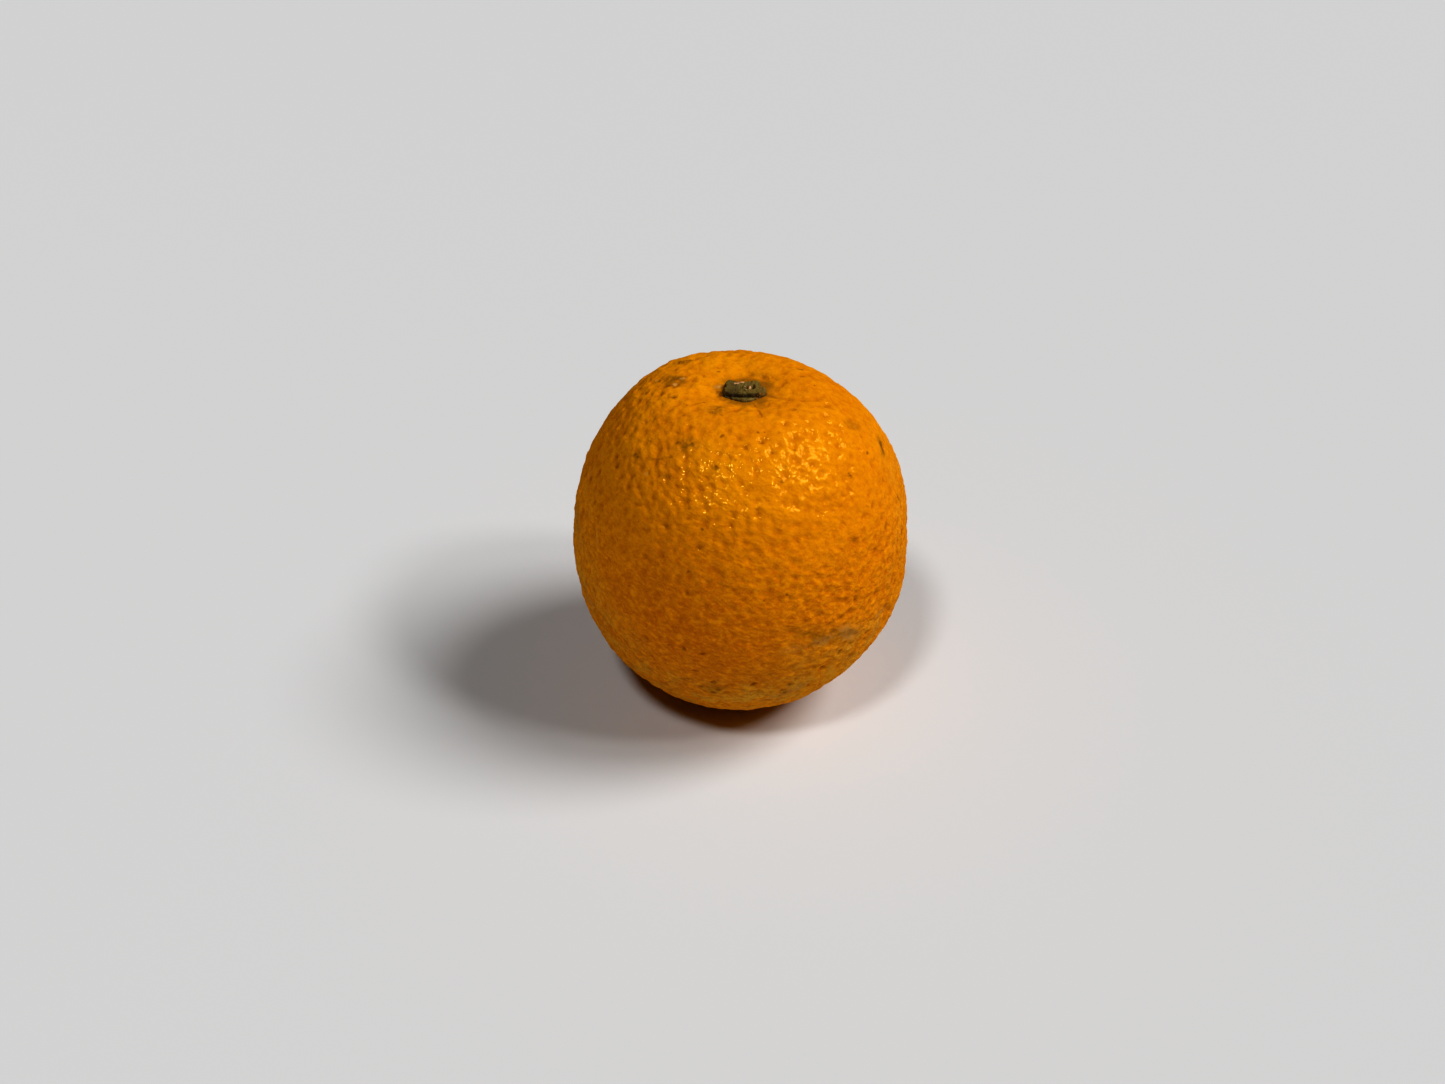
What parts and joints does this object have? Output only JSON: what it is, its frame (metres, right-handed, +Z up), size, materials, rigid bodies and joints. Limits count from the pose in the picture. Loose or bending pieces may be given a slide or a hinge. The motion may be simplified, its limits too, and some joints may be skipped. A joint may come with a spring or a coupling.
{
  "type": "orange",
  "caption": "Whole ripe orange, a little taller than wide, with a pitted rind, a shallow furrowed hollow and a dried stem button, standing on a small flat spot.",
  "frame": {"origin": "under the middle of the fruit, on the plane that it rests on", "axes": "+Z up along the fruit's axis to the stem end, -Y towards the side that is seen first, +X to that viewer's right"},
  "size_m": [0.075, 0.0752, 0.0777],
  "materials": {
    "rind": "waxy orange citrus rind with gland pits, satin with broken glints",
    "stem_button": "dry olive-brown calyx, matt and fibrous"
  },
  "bodies": {
    "root": {"orange_fruit": "rind", "stem_button": "stem_button"}
  },
  "joints": []
}
